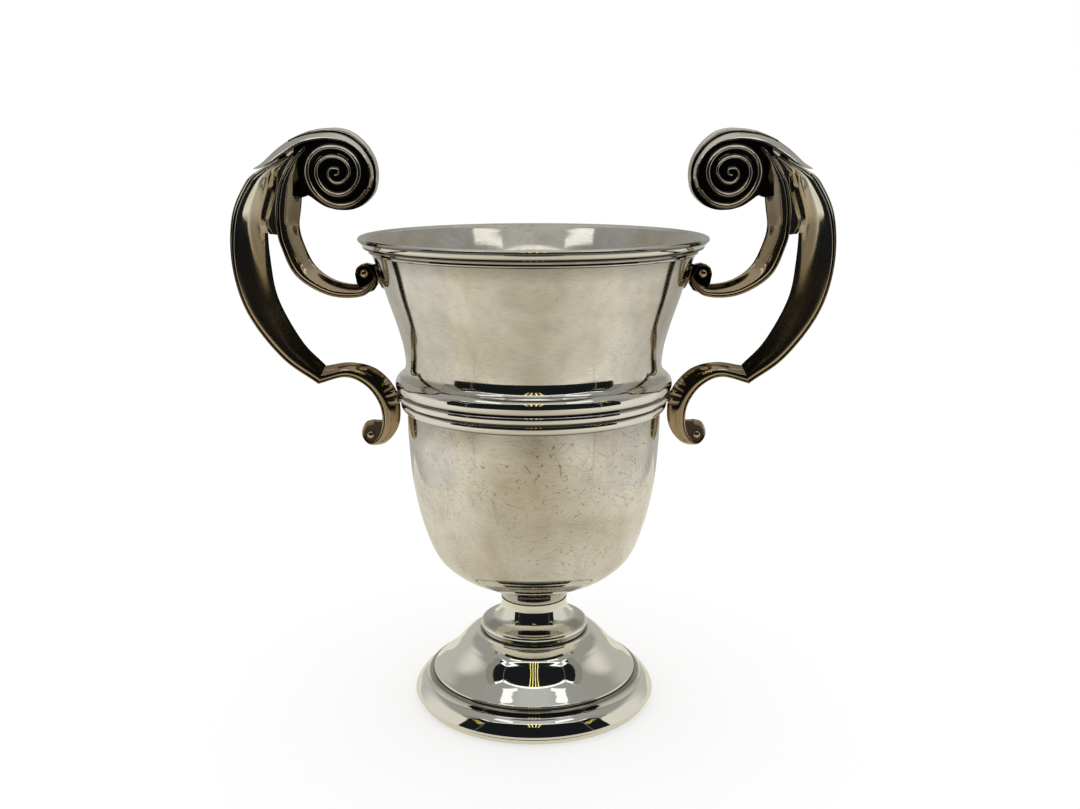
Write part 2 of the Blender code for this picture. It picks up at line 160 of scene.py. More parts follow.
LAMP_LIGHT = 1.6
LAMP_GROUPS = [(-270.0, 70.0), (0.0, 110.0), (270.0, 70.0)]  # middle, and reach into the room
LAMPS_IN_GROUP = 4
LAMP_SPACING = 13.0
LAMP_HALF_WIDTH = 1.6

# Strips down the side walls' front ends: name, bottom, top, colour and strength
CHEEK_WIDTH = 7.0
CHEEK_DEPTH = 32.0
CHEEKS = [("tent_low_cheek", 0.0, 112.0, (1.0, 0.96, 0.86), 0.74),
          ("tent_cheek", 112.0, TENT_HEIGHT, (1.0, 0.95, 0.86), 0.26)]

# Table: how it looks to the eye, and its tones in reflections, with distances in metres
TABLE_HALF_WIDTH = 1500.0
WHITE = (1.0, 1.0, 1.0)
PAPER_COLOUR = (0.55, 0.55, 0.55)
PAPER_LIFT = 0.5
# Reflected tones: a painted shadow before the cup, paler paper wider out, and painted shade in the
# front corners
FRONT_SHADOW_COLOUR = (0.47, 0.425, 0.32)
FRONT_SHIFT = (0.0, 0.15, 0.0)
FRONT_SQUASH = (1.0, 0.5, 1.0)
WIDE_COLOUR = (0.78, 0.74, 0.63)
WIDE_FROM = (0.03, 0.20)
CORNER_SHADE_COLOUR = (0.40, 0.35, 0.25)
CORNER_ASIDE = (0.20, 0.32)
CORNER_TOWARD = (-0.14, -0.26)

# Camera, fitted to the ellipses of the lip, the girdle and the foot
PHOTO_WIDTH = 1080
FOCAL_PIXELS = 1185.65
SENSOR_WIDTH = 36.0
CAMERA_DISTANCE = 314.4
CAMERA_HEIGHT = 153.9
CAMERA_DIP = 12.59
CAMERA_PAN = 0.3055


# Curves and meshes


def smooth(knots, per_span):
    """Points on a Catmull-Rom curve through the knots, which are tuples of any length."""
    points = []
    last = len(knots) - 1
    for span in range(last):
        p1 = knots[span]
        p2 = knots[span + 1]
        p0 = knots[span - 1] if span > 0 else [2 * a - b for a, b in zip(p1, p2)]
        p3 = knots[span + 2] if span + 2 <= last else [2 * b - a for a, b in zip(p1, p2)]
        for step in range(per_span):
            t = step / per_span
            points.append(tuple(
                0.5 * (2 * b + (c - a) * t + (2 * a - 5 * b + 4 * c - d) * t ** 2
                       + (3 * b - a - 3 * c + d) * t ** 3)
                for a, b, c, d in zip(p0, p1, p2, p3)))
    points.append(tuple(knots[-1]))
    return points


def offset(curve, distance):
    """The curve of (r, z) points moved toward the axis, square to itself."""
    moved = []
    for index, (r, z, *rest) in enumerate(curve):
        before = curve[max(index - 1, 0)]
        after = curve[min(index + 1, len(curve) - 1)]
        dr = after[0] - before[0]
        dz = after[1] - before[1]
        length = math.hypot(dr, dz)
        moved.append((max(r + dz / length * distance, 0.0), z - dr / length * distance, *rest))
    return moved


def new_shape():
    """An empty bmesh whose points hold a tarnish value, which in places is painted shade."""
    shape = bmesh.new()
    shape.verts.layers.float.new("tarnish")
    return shape


def add_point(shape, x, y, z, dark):
    """A new point of the bmesh, placed in millimetres."""
    point = shape.verts.new((x * MM, y * MM, z * MM))
    point[shape.verts.layers.float["tarnish"]] = dark
    return point


def directions(radius, steps):
    """Cosine and sine of each step round a circle, or of one step if the radius is a pole's."""
    angles = [2.0 * math.pi * step / steps for step in range(steps if radius > POLE else 1)]
    return [(math.cos(angle), math.sin(angle)) for angle in angles]


def skin(shape, rings, closed=False):
    """Adds the faces between neighbouring rings of points, where a ring of one point is a pole."""
    steps = max(len(ring) for ring in rings)
    pairs = list(zip(rings, rings[1:]))
    if closed:
        pairs.append((rings[-1], rings[0]))
    for ring, following in pairs:
        for step in range(steps):
            after = (step + 1) % steps
            corners = [ring[step % len(ring)], ring[after % len(ring)],
                       following[after % len(following)], following[step % len(following)]]
            shape.faces.new(list(dict.fromkeys(corners)))


def show(name, shape, material):
    """Turns the bmesh into a smooth-shaded piece that stands for the CAD node of that name."""
    bmesh.ops.recalc_face_normals(shape, faces=shape.faces)
    mesh = bpy.data.meshes.new(name + "_fine")
    shape.to_mesh(mesh)
    shape.free()
    mesh.shade_smooth()
    mesh.set_sharp_from_angle(angle=math.radians(SHARP_EDGE))
    mesh.materials.append(material)
    piece = bpy.data.objects.new(name + "_fine", mesh)
    bpy.context.scene.collection.objects.link(piece)
    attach(piece, "root")
    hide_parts(name)


def turned(name, outline, material, closed=True):
    """A fine turned piece from an outline of (r, z, tarnish) points about the Z axis.

    An outline that starts and ends on the axis isn't closed.
    """
    shape = new_shape()
    rings = [[add_point(shape, r * cosine, r * sine, z, dark)
              for cosine, sine in directions(r, TURN_STEPS)] for r, z, dark in outline]
    skin(shape, rings, closed)
    show(name, shape, material)


# A scroll's half section: (inset, share of the half depth, tarnish). Insets are in widths of the
# rail as far as the end of the groove beside it, and from there in shares of the rest
RAIL_OUTLINE = [
    (0.38, 0.0, 0.4), (0.33, 0.35, 0.3), (0.14, 0.62, 0.1), (0.0, 0.80, 0.0), (0.07, 0.91, 0.0),
    (0.26, 0.965, 0.0), (0.48, 0.975, 0.0), (0.70, 0.955, 0.1), (0.86, 0.90, 0.8),
    (0.98, 0.865, 1.0), (1.12, 0.90, 0.7), (1.30, 0.965, 0.1), (1.50, 0.995, 0.0),
    (1.72, 1.0, 0.1), (1.90, 1.0, 0.1)]
GROOVE_END = 1.95
BODY_OUTLINE = [
    (0.05, 1.0, 0.05), (0.10, 0.998, 0.05), (0.15, 0.987, 0.05), (0.20, 0.972, 0.05),
    (0.25, 0.95, 0.05), (0.32, 0.905, 0.05), (0.43, 0.81, 0.05), (0.54, 0.70, 0.05),
    (0.70, 0.50, 0.05), (0.80, 0.35, 0.05), (0.88, 0.215, 0.1), (0.95, 0.09, 0.2), (1.0, 0.0, 0.3)]

# The limb's and the C-scroll's body, which falls away sooner toward the inner edge
SCROLL_OUTLINE = [
    (0.05, 1.0, 0.05), (0.09, 0.988, 0.05), (0.13, 0.963, 0.05), (0.18, 0.925, 0.05),
    (0.25, 0.865, 0.05), (0.32, 0.79, 0.05), (0.43, 0.667, 0.05), (0.54, 0.535, 0.05),
    (0.70, 0.325, 0.05), (0.80, 0.19, 0.05), (0.88, 0.09, 0.1), (0.95, 0.025, 0.2), (1.0, 0.0, 0.3)]

# The strap, the rib on it and the spiral ridge, from the outer edge to the inner one:
# (share of the thickness, share of the half depth, tarnish)
STRAP_OUTLINE = [
    (0.02, 0.0, 0.6), (0.0, 0.36, 1.0), (0.02, 0.50, 1.0), (0.08, 0.595, 0.5), (0.16, 0.66, 0.1),
    (0.30, 0.76, 0.0), (0.45, 0.845, 0.0), (0.58, 0.905, 0.0), (0.70, 0.95, 0.0),
    (0.80, 0.98, 0.0), (0.88, 0.995, 0.0), (0.94, 0.99, 0.0), (0.98, 0.95, 0.2),
    (1.0, 0.86, 0.7), (1.0, 0.5, 1.0), (0.98, 0.0, 1.0)]
RIB_OUTLINE = [
    (0.05, 0.0, 0.0), (0.0, 0.35, 0.0), (0.03, 0.62, 0.0), (0.12, 0.80, 0.0), (0.26, 0.92, 0.0),
    (0.45, 0.985, 0.0), (0.62, 0.99, 0.05), (0.76, 0.95, 0.3), (0.86, 0.85, 0.9),
    (0.93, 0.70, 1.0), (1.0, 0.5, 1.0), (1.0, 0.0, 1.0)]
RIDGE_TOP = 0.6  # share of the thickness at the ridge's crest
RIDGE_LEAN = 0.13  # shift of the crest that widens the flank that faces up
RIDGE_SHADE = 6.0  # painted shade gained with the distance down the flank that faces down
RIDGE_DARKEST = 1.1
RIDGE_OUTLINE = [
    (0.0, 0.0, 1.0), (0.0, 0.70, 1.0), (0.04, 0.71, 0.8), (0.10, 0.725, 0.5), (0.16, 0.715, 0.9),
    (0.20, 0.72, 1.0), (0.24, 0.79, 0.7), (0.29, 0.87, 0.2), (0.35, 0.925, 0.0), (0.42, 0.962, 0.0),
    (0.50, 0.988, 0.0), (0.57, 0.998, 0.0), (0.63, 0.998, 0.0), (0.70, 0.988, 0.0),
    (0.78, 0.962, 0.0), (0.85, 0.925, 0.0), (0.91, 0.87, 0.2), (0.96, 0.79, 0.7),
    (1.0, 0.71, 1.0), (1.0, 0.0, 1.0)]
WEB_OUTLINE = [
    (0.0, 0.0, 0.3), (0.0, 1.0, 0.3), (0.12, 0.80, 0.2), (0.25, 0.62, 0.1), (0.40, 0.48, 0.0),
    (0.55, 0.44, 0.0), (0.70, 0.50, 0.0), (0.85, 0.72, 0.2), (1.0, 1.0, 0.5), (1.0, 0.0, 0.5)]


def ring_of(station, body):
    """The closed section at a station: outer x, z, inner x, z, half depth, rail, tarnish.

    In place of the rail's width a station may carry an outline, and it may leave out the tarnish.
    """
    outer = Vector((station[0], 0.0, station[1]))
    inner = Vector((station[2], 0.0, station[3]))
    half_depth = station[4]
    rail = station[5]
    extra = station[6] if len(station) > 6 else 0.0
    thickness = (inner - outer).length
    inward = (inner - outer).normalized()
    if isinstance(rail, list):
        half = [(inset * thickness, share, dark) for inset, share, dark in rail]
    else:
        groove = GROOVE_END * rail
        half = [(inset * rail, share, dark) for inset, share, dark in RAIL_OUTLINE]
        half += [(groove + inset * (thickness - groove), share, dark)
                 for inset, share, dark in body]
    front = [(outer + inward * inset + Vector((0.0, -share * half_depth, 0.0)), dark + extra)
             for inset, share, dark in half]
    back = [(Vector((point.x, -point.y, point.z)), dark) for point, dark in front[-2:0:-1]]
    return front + back


def loft_into(shape, stations, turn, body=BODY_OUTLINE):
    """Adds a loft through the stations to the bmesh, on the handle that turn points at."""
    rings = [[add_point(shape, point.x * turn, point.y * turn, point.z, dark)
              for point, dark in ring_of(station, body)] for station in stations]
    skin(shape, rings)
    shape.faces.new(rings[0])
    shape.faces.new(rings[-1])


def plate_into(shape, edge, half_depth, dark, turn):
    """Adds a flat plate with the given outline of (x, z) points to the bmesh."""
    sides = [[add_point(shape, x * turn, depth * turn, z, dark) for x, z in edge]
             for depth in (-half_depth, half_depth)]
    shape.faces.new(sides[0])
    shape.faces.new(sides[1])
    skin(shape, sides)


def bead_into(shape, centre, outline, turn):
    """Adds a round bead about an axis along Y to the bmesh: outline is (radius, y) points."""
    rings = [[add_point(shape, (centre[0] + radius * cosine) * turn, y * turn,
                        centre[1] + radius * sine, BEAD_TARNISH)
              for cosine, sine in directions(radius, ROUND_STEPS)] for radius, y in outline]
    skin(shape, rings)


# Materials


def node(tree, kind, inputs=None, **settings):
    """A new node. Each input, by name or number, takes a value or the socket that feeds it."""
    made = tree.nodes.new(kind)
    for name, value in settings.items():
        setattr(made, name, value)
    for key, value in (inputs or {}).items():
        socket = made.inputs[key]
        if isinstance(value, bpy.types.NodeSocket):
            tree.links.new(value, socket)
        elif socket.type == "RGBA":
            socket.default_value = (*value, 1.0)
        else:
            socket.default_value = value
    return made


def maths(tree, operation, *values, **settings):
    """The result of an operation on values or sockets."""
    inputs = dict(enumerate(values))
    return node(tree, "ShaderNodeMath", inputs, operation=operation, **settings).outputs[0]


def ramp(tree, value, start, end, first=0.0, last=1.0, kind="SMOOTHSTEP"):
    """A value that goes from first to last as the socket goes from start to end."""
    inputs = {"Value": value, "From Min": start, "From Max": end, "To Min": first, "To Max": last}
    return node(tree, "ShaderNodeMapRange", inputs, interpolation_type=kind).outputs["Result"]


def blended(tree, factor, first, second, **settings):
    """A colour that goes from the first to the second with the factor."""
    inputs = {"Factor": factor, "A": first, "B": second}
    return node(tree, "ShaderNodeMix", inputs, data_type="RGBA", **settings).outputs["Result"]


def noise(tree, place, scale, seed, detail=2.0, roughness=0.5):
    """A noise pattern over the places. Each seed gives its own."""
    inputs = {"Vector": place, "W": seed, "Scale": scale, "Detail": detail, "Roughness": roughness}
    return node(tree, "ShaderNodeTexNoise", inputs, noise_dimensions="4D").outputs["Fac"]


def mapped(tree, place, **changes):
    """The places moved, turned or scaled."""
    inputs = {"Vector": place}
    inputs.update({name.capitalize(): change for name, change in changes.items()})
    return node(tree, "ShaderNodeMapping", inputs).outputs["Vector"]


def length_of(tree, place):
    """Distance of the places from the origin."""
    return node(tree, "ShaderNodeVectorMath", {0: place}, operation="LENGTH").outputs["Value"]


def places(tree):
    """The point on the object, as a whole and as its parts X, Y and Z."""
    place = node(tree, "ShaderNodeTexCoord").outputs["Object"]
    return place, node(tree, "ShaderNodeSeparateXYZ", {"Vector": place}).outputs


def marked(tree, tone, parts, seed):
    """Adds streaks round the axis, thin dark scratches at several slants, and specks."""
    forward = maths(tree, "MULTIPLY", parts["Y"], -1.0)
    round_axis = maths(tree, "ARCTAN2", parts["X"], forward)
    along = maths(tree, "MULTIPLY", round_axis, SHEET_RADIUS * MM)
    flat = node(tree, "ShaderNodeCombineXYZ", {"X": along, "Y": parts["Z"]}).outputs["Vector"]
    bend = node(tree, "ShaderNodeTexNoise", {"Vector": flat, "Scale": BEND_SCALE, "Detail": 1.0},
                noise_dimensions="2D").outputs["Color"]
    sheet = node(tree, "ShaderNodeVectorMath", {0: bend, 1: BEND, 2: flat},
                 operation="MULTIPLY_ADD").outputs["Vector"]

    # All marks fade out near the axis. Scratches also gather in patches, mostly below the girdle
    level = node(tree, "ShaderNodeCombineXYZ", {"X": parts["X"], "Y": parts["Y"]})
    away = ramp(tree, length_of(tree, level.outputs["Vector"]), *AXIS_FADE)
    patch = noise(tree, flat, PATCH_SCALE, seed + PATCH_SEED)
    gather = ramp(tree, patch, *PATCH_NOISE, PATCH_LEAST, 1.0, "LINEAR")
    lower = ramp(tree, parts["Z"], *GIRDLE_FADE, ABOVE_GIRDLE, 1.0, "LINEAR")
    worn = maths(tree, "MULTIPLY", maths(tree, "MULTIPLY", gather, lower), away)
    for slant, stretch, scale, start, full, strength in SHEET_MARKS:
        slanted = mapped(tree, sheet, rotation=(0.0, 0.0, slant))
        narrow = mapped(tree, slanted, scale=(1.0, stretch, 1.0))
        mark = noise(tree, narrow, scale, seed + SLANT_SEED * slant)
        cut = ramp(tree, mark, start, full, 0.0, strength, "LINEAR")
        shown = maths(tree, "MULTIPLY", cut, away if start < FAINT_MARK else worn)
        tone = blended(tree, shown, tone, MARK_COLOUR)
    return tone


def painted_low_reflection(tree, tone, parts, cloud, low):
    """Painted reflection of the warm table: the low colour beneath the volutes, higher on the inner
    scrolls.
    """
    outward = maths(tree, "ABSOLUTE", parts["X"])
    shift = ramp(tree, outward, *INNER_SCROLLS, 0.0, INNER_SHIFT)
    shifted = maths(tree, "ADD", parts["Z"], shift)
    height = maths(tree, "MULTIPLY_ADD", cloud, LOW_WANDER, shifted)
    return blended(tree, ramp(tree, height, *LOW_HEIGHTS), tone, low, blend_type="MULTIPLY")


def dulled(tree, rough, parts):
    """More roughness low down on the limb."""
    outward = maths(tree, "ABSOLUTE", parts["X"])
    outer = ramp(tree, outward, *DULL_LIMB, 0.0, DULL_ROUGHNESS)
    beneath = ramp(tree, parts["Z"], *DULL_HEIGHTS)
    return maths(tree, "ADD", rough, maths(tree, "MULTIPLY", outer, beneath))


def hairlines(tree, place, seed, height):
    """The normal of fine hairline scratches in two directions."""
    heights = []
    for index, (stretch, turn) in enumerate(HAIRS):
        squeezed = mapped(tree, place, scale=stretch, rotation=turn)
        heights.append(noise(tree, squeezed, HAIR_SCALE, seed + index, detail=3.0))
    inputs = {"Strength": 1.0, "Distance": height * MM, "Height": maths(tree, "ADD", *heights)}
    return node(tree, "ShaderNodeBump", inputs).outputs["Normal"]


def silver(name, bright, tarnish, roughness, wear, seed, scratch_height, low=None, sheet=False):
    """Worn silver: colour and roughness drift over it, grooves hold tarnish, its points' values
    paint shade, and it is scratched.

    With a low colour, the surface turns to that colour below the height of the volutes, as a
    painted reflection of the warm table. A sheet also has streaks, scratches and specks.
    """
    material = bpy.data.materials.new(name)
    material.use_nodes = True
    tree = material.node_tree
    shader = tree.nodes["Principled BSDF"]
    shader.inputs["Metallic"].default_value = 1.0
    place, parts = places(tree)

    # Slow drift of colour over the surface, rougher where it is stained
    cloud = noise(tree, place, DRIFT_SCALE, seed, detail=5.0, roughness=0.62)
    drift = ramp(tree, cloud, *DRIFT_NOISE, 0.0, 1.0, "LINEAR")
    tone = blended(tree, maths(tree, "MULTIPLY", drift, wear), bright, tarnish)
    rough = maths(tree, "MULTIPLY_ADD", drift, roughness * STAIN_ROUGHNESS, roughness)
    if sheet:
        tone = marked(tree, tone, parts, seed)
    # A painted reflection of the warm table turns the handles' lower parts tan, and the limb is
    # duller low down
    if low:
        tone = painted_low_reflection(tree, tone, parts, cloud, low)
        rough = dulled(tree, rough, parts)

    # Tarnish left in the grooves, and painted shade where the points' tarnish values give it
    groove = node(tree, "ShaderNodeAttribute", attribute_name="tarnish").outputs["Fac"]
    held = maths(tree, "MULTIPLY", groove, TARNISH_AND_SHADE_HOLD, use_clamp=True)
    tone = blended(tree, held, tone, TARNISH_AND_SHADE_COLOUR)

    tree.links.new(tone, shader.inputs["Base Color"])
    tree.links.new(rough, shader.inputs["Roughness"])
    tree.links.new(hairlines(tree, place, seed, scratch_height), shader.inputs["Normal"])
    return material


# Turned pieces


def clean(points):
    """The (r, z) points as points without tarnish."""
    return [(r, z, 0.0) for r, z in points]


def darkening(value, start, end, most):
    """Tarnish and painted shade that grows from 0 at start toward 1 at end, and stops at most."""
    return max(0.0, min(most, (value - start) / (end - start)))


def bowl_upper_wall():
    """Outer side of the upper sheet, from the lip to the foot of the cove, darker near the lip with
    tarnish and painted shade under the rim wire.
    """
    wall = smooth([(44.5, 129.0), (42.6, 125.2), (40.7, 120.2), (38.7, 113.5), (36.5, 106.9),
                   (35.0, 101.5), (34.45, 98.2), (34.28, 96.6), (34.26, 95.7), (34.36, 94.9),
                   (34.6, 94.2), (35.0, 93.55), (35.5, 93.0), (35.95, 92.65)], per_span=6)
    # Tarnish, and painted shade under the rim wire, darken the wall toward the lip
    return [(r, z, darkening(z, start=121.0, end=130.5, most=0.42)) for r, z in wall]


def make_bowl_upper(material):
    """The upper sheet. Inside, it curls in at the lip and runs straight down behind the cove."""
    wall = bowl_upper_wall()
    inside = clean(smooth([(43.6, 129.2), (43.25, 128.97), (42.97, 128.55), (42.7, 127.93),
                           (42.32, 127.0), (41.49, 125.0), (41.09, 124.0), (40.7, 123.0),
                           (40.14, 121.5), (39.75, 120.3), (39.42, 119.1)], per_span=6))
    cove_top = 98.2
    curl_end = 118.6
    inside += [(r - SHEET, z, 0.0) for r, z, dark in wall if cove_top < z < curl_end]
    lip = [(43.85, LIP_HEIGHT + 0.02, 0.0), (44.2, LIP_HEIGHT + 0.12, 0.0)]
    straight = inside[-1][0]
    outline = wall + [(35.4, SEAM_HEIGHT, 0.0), (straight, SEAM_HEIGHT, 0.0)]
    outline += inside[::-1] + lip
    turned("bowl_upper", outline, material)


def make_rim_moulding(material):
    """The wire round the lip: a dark groove in its edge, a wider one below, and a small bead."""
    outline = [
        # The dark values in the edge's groove and in the groove under the wire are painted shade,
        # along with tarnish
        (44.2, 129.35, 0.0), (44.8, 129.47, 0.0), (45.4, 129.44, 0.0), (45.8, 129.26, 0.0),
        (45.97, 129.02, 0.1), (46.0, 128.8, 0.7), (45.97, 128.56, 1.0), (45.8, 128.38, 0.9),
        (45.5, 128.15, 0.2),
        (45.15, 127.75, 0.05), (44.9, 127.4, 0.3), (44.78, 127.18, 0.9), (44.6, 127.06, 1.0),
        (44.66, 126.94, 1.0), (44.7, 126.8, 0.9), (44.64, 126.68, 1.0), (44.4, 126.56, 1.0),
        (43.3, 126.5, 1.0), (42.75, 126.42, 1.0), (42.68, 126.1, 1.0), (42.75, 125.88, 1.0),
        (42.95, 125.8, 0.5), (43.16, 125.7, 0.0), (43.24, 125.52, 0.0), (43.18, 125.36, 0.1),
        (42.98, 125.25, 0.9), (42.75, 125.12, 1.0), (42.45, 124.95, 1.0),
        (42.0, 124.95, 1.0), (42.9, 127.5, 0.0), (43.9, 129.0, 0.0)]
    turned("rim_moulding", outline, material)


def make_girdle(material):
    """The moulding over the seam: a broad ridge and two reeds, with darker grooves between them."""
    inner = 34.0
    outline = [
        (35.65, 92.55, 0.0), (35.95, 92.65, 0.0), (36.35, 92.28, 0.0), (36.68, 91.93, 0.0),
        (36.9, 91.6, 0.0), (37.05, 91.25, 0.0), (37.13, 90.85, 0.0), (37.16, 90.45, 0.0),
        (37.13, 90.05, 0.0), (37.05, 89.65, 0.1), (36.92, 89.3, 0.3), (36.7, 89.0, 0.9),
        (36.45, 88.75, 1.0),
        (36.5, 88.5, 0.9), (36.7, 88.35, 0.3), (36.85, 88.0, 0.0), (36.87, 87.6, 0.0),
        (36.75, 87.1, 0.0), (36.5, 86.75, 0.3), (36.1, 86.5, 0.9), (35.3, 86.3, 1.0),
        (35.25, 86.05, 1.0), (35.5, 85.95, 0.4), (35.72, 85.7, 0.0), (35.8, 85.3, 0.0),
        (35.78, 84.8, 0.0), (35.65, 84.4, 0.1), (35.4, 84.0, 0.4), (35.0, 83.7, 0.9),
        (34.5, 83.45, 1.0), (34.1, 83.3, 1.0), (inner, 83.3, 0.0), (inner, 92.3, 0.0)]
    turned("girdle_moulding", outline, material)


def make_bowl_lower(material):
    """The tub-shaped lower sheet, darker near the girdle."""
    outside = smooth([(34.2, 91.0), (34.18, 84.0), (34.05, 77.1), (33.7, 71.1), (33.18, 65.15),
                      (32.33, 59.45), (31.21, 54.35), (29.8, 49.5), (28.2, 45.2), (26.27, 41.82),
                      (23.65, 39.16), (20.77, 37.05), (17.56, 35.37), (14.1, 34.11),
                      (10.6, 33.26), (5.4, 32.7), (0.0, 32.6)], per_span=5)
    outside = [(r, z, darkening(z, start=77.0, end=95.0, most=0.35)) for r, z in outside]
    inside = [(r, z, 0.0) for r, z, dark in offset(outside, SHEET)]
    inside[-1] = (0.0, inside[-1][1], 0.0)
    turned("bowl_lower", inside[::-1] + outside, material, closed=False)


def make_stem(bright):
    """The ferrule under the bowl, and the spool below it with its round-edged flange."""
    collar = [(10.6, 33.15, 1.0), (10.6, 32.89, 0.9), (10.28, 32.55, 0.5)]
    neck = smooth([(10.28, 32.55), (9.92, 31.93), (9.64, 31.22), (9.24, 30.1), (9.06, 29.32)],
                  per_span=5)
    collar += [(r, z, 0.38) for r, z in neck[1:]]
    collar += [(9.0, 29.15, 1.0), (STEM_BORE, 28.98, 0.0), (STEM_BORE, 33.1, 0.0)]
    turned("stem_collar", collar, bright)
    flare = smooth([(9.24, 28.98), (9.08, 27.89), (9.2, 26.6), (9.78, 25.2),
                    (10.6, 23.9), (11.68, 22.95), (13.0, 22.35), (14.17, 22.06)], per_span=6)
    flare = [(r, z, darkening(r, start=10.9, end=12.9, most=0.4)) for r, z in flare]
    edge = clean(smooth([(14.17, 22.06), (14.69, 21.79), (14.91, 21.25), (14.78, 20.62),
                         (14.65, 19.86)], per_span=5))[1:]
    # Painted shadow where the flange meets the dome
    seat = [(14.4, 19.45, 0.6), (14.3, 19.2, 1.0), (STEM_BORE, 19.2, 0.0), (STEM_BORE, 28.98, 0.0)]
    turned("stem_spool", flare + edge + seat, bright)


def make_foot(bright):
    """The hollow dome, the stepped base ring and the wire that the cup stands on."""
    dome = clean(smooth([(15.4, 19.18), (16.4, 19.1), (17.65, 18.52), (19.06, 17.46),
                         (20.0, 16.5), (20.6, 15.85), (21.2, 15.13), (21.8, 14.39),
                         (22.4, 13.67), (23.0, 12.99), (23.7, 12.26), (24.5, 11.52),
                         (25.5, 10.71), (26.5, 9.92), (27.5, 9.13), (28.1, 8.67),
                         (28.33, 8.38), (28.28, 8.14)], per_span=7))
    under = [(r, z, 0.2) for r, z, dark in offset(dome, FOOT_SHEET)]
    under[-1] = (27.3, 7.9, 0.5)
    seat = [(28.2, 7.9, 1.0)]
    # Painted shadow beneath the spool's flange, on the dome's top
    outline = [(STEM_BORE, 19.25, 0.0), (14.5, 19.25, 1.0), (15.1, 19.25, 0.5)]
    outline += dome + seat + under[::-1] + [(STEM_BORE, 18.2, 0.0)]
    turned("foot_dome", outline, bright)

    shelf = [(27.2, 7.7, 1.0), (28.3, 7.85, 1.0), (28.5, 7.86, 0.9)]
    skirt = smooth([(28.5, 7.86), (29.42, 7.66), (29.79, 7.25), (30.0, 6.85), (30.35, 6.42),
                    (30.99, 5.98), (31.79, 5.31), (32.41, 4.56), (33.03, 3.66),
                    (33.44, 2.86), (33.54, 2.27), (33.25, 1.9)], per_span=5)[1:]
    skirt = [(r, z, darkening(r, start=30.6, end=29.0, most=0.6)) for r, z in skirt]
    hollow = [(32.6, 1.7, 0.8), (31.7, 1.6, 0.3), (31.7, 3.4, 0.2), (29.2, 5.9, 0.2),
              (27.2, 6.7, 0.2)]
    turned("foot_base", shelf + skirt + hollow, bright)

    wire = clean([(31.9, 1.75), (32.3, 1.7), (32.45, 1.4), (32.52, 1.0), (32.5, 0.5),
                  (32.3, 0.15), (31.9, 0.0), (30.6, 0.0), (30.3, 0.3), (30.3, 0.9), (30.7, 1.75)])
    turned("foot_rim_wire", wire, bright)


# Handles: each station is outer x, z, inner x, z, half depth, width of the rail, added tarnish,
# which is painted shade where a scroll runs under the strap or up to another part


def limb_stations():
    """The long limb, up from the mitre to its tip under the strap."""
    return smooth([
        (58.05, 89.95, 56.0, 94.6, 2.5, 0.75, 0.3),
        (67.25, 97.2, 62.0, 101.2, 3.3, 0.75, 0.1),
        (75.55, 109.25, 67.7, 112.3, 4.1, 0.72, 0.0),
        (78.75, 121.9, 69.4, 122.3, 4.7, 0.72, 0.0),
        (78.15, 134.5, 69.6, 132.8, 4.7, 0.95, 0.0),
        (74.3, 143.2, 67.2, 141.4, 4.3, 1.1, 0.0),
        (70.9, 146.15, 66.4, 144.75, 3.6, 0.8, 0.0),
        (67.6, 147.75, 65.1, 146.9, 3.2, 0.45, 0.2),
        (63.7, 149.9, 63.1, 149.2, 2.7, 0.1, 0.6)], SPAN_STEPS)


def c_scroll_stations():
    """The C-scroll, from the strap down to its curl at the bowl."""
    return smooth([
        (58.8, 152.25, 58.1, 151.6, 2.8, 0.2, 0.5),
        (61.5, 149.75, 59.7, 148.6, 2.95, 0.45, 0.2),
        (63.9, 146.5, 60.0, 145.4, 3.1, 0.75, 0.0),
        (65.8, 142.8, 60.2, 142.0, 3.4, 0.85, 0.0),
        (66.9, 137.0, 60.75, 136.9, 3.6, 0.85, 0.0),
        (66.9, 131.5, 61.4, 131.8, 3.6, 0.85, 0.0),
        (66.0, 126.6, 60.4, 127.2, 3.5, 0.85, 0.0),
        (62.4, 118.8, 57.6, 121.4, 3.2, 0.8, 0.0),
        (54.15, 113.7, 52.6, 117.7, 2.7, 0.7, 0.0),
        (45.4, 113.4, 46.6, 116.6, 2.1, 0.6, 0.1),
        (41.6, 117.3, 43.1, 118.4, 1.75, 0.35, 0.4),
        (42.55, 120.4, 43.2, 120.1, 1.65, 0.2, 0.5),
        (44.4, 121.9, 44.4, 121.1, 1.6, 0.2, 0.1),
        (46.5, 121.1, 45.8, 120.7, 1.6, 0.2, 0.0),
        (47.2, 119.2, 46.3, 119.4, 1.6, 0.2, 0.0)], SPAN_STEPS)


def s_scroll_stations():
    """The S-scroll, from the mitre to the girdle and its curl."""
    return smooth([
        (58.1, 89.77, 56.0, 94.5, 2.5, 0.75, 0.3),
        (50.5, 91.65, 48.9, 95.4, 2.4, 0.65, 0.1),
        (45.05, 89.1, 42.0, 93.4, 2.3, 0.65, 0.1),
        (41.7, 84.1, 37.0, 87.2, 2.2, 0.65, 0.3),
        (41.1, 78.7, 36.5, 78.9, 2.1, 0.6, 0.1),
        (42.5, 74.8, 40.0, 73.4, 1.85, 0.4, 0.1),
        (44.6, 73.5, 44.4, 72.5, 1.7, 0.25, 0.0),
        (46.1, 75.4, 46.9, 75.4, 1.6, 0.2, 0.0),
        (45.3, 77.8, 45.8, 78.8, 1.6, 0.2, 0.0),
        (43.4, 78.5, 43.3, 79.7, 1.6, 0.2, 0.0)], SPAN_STEPS)


def on_volute(angle, radius):
    """The (x, z) point at an angle in degrees, from the top toward the cup, and a radius."""
    return (VOLUTE_CENTRE[0] - radius * math.sin(math.radians(angle)),
            VOLUTE_CENTRE[1] + radius * math.cos(math.radians(angle)))


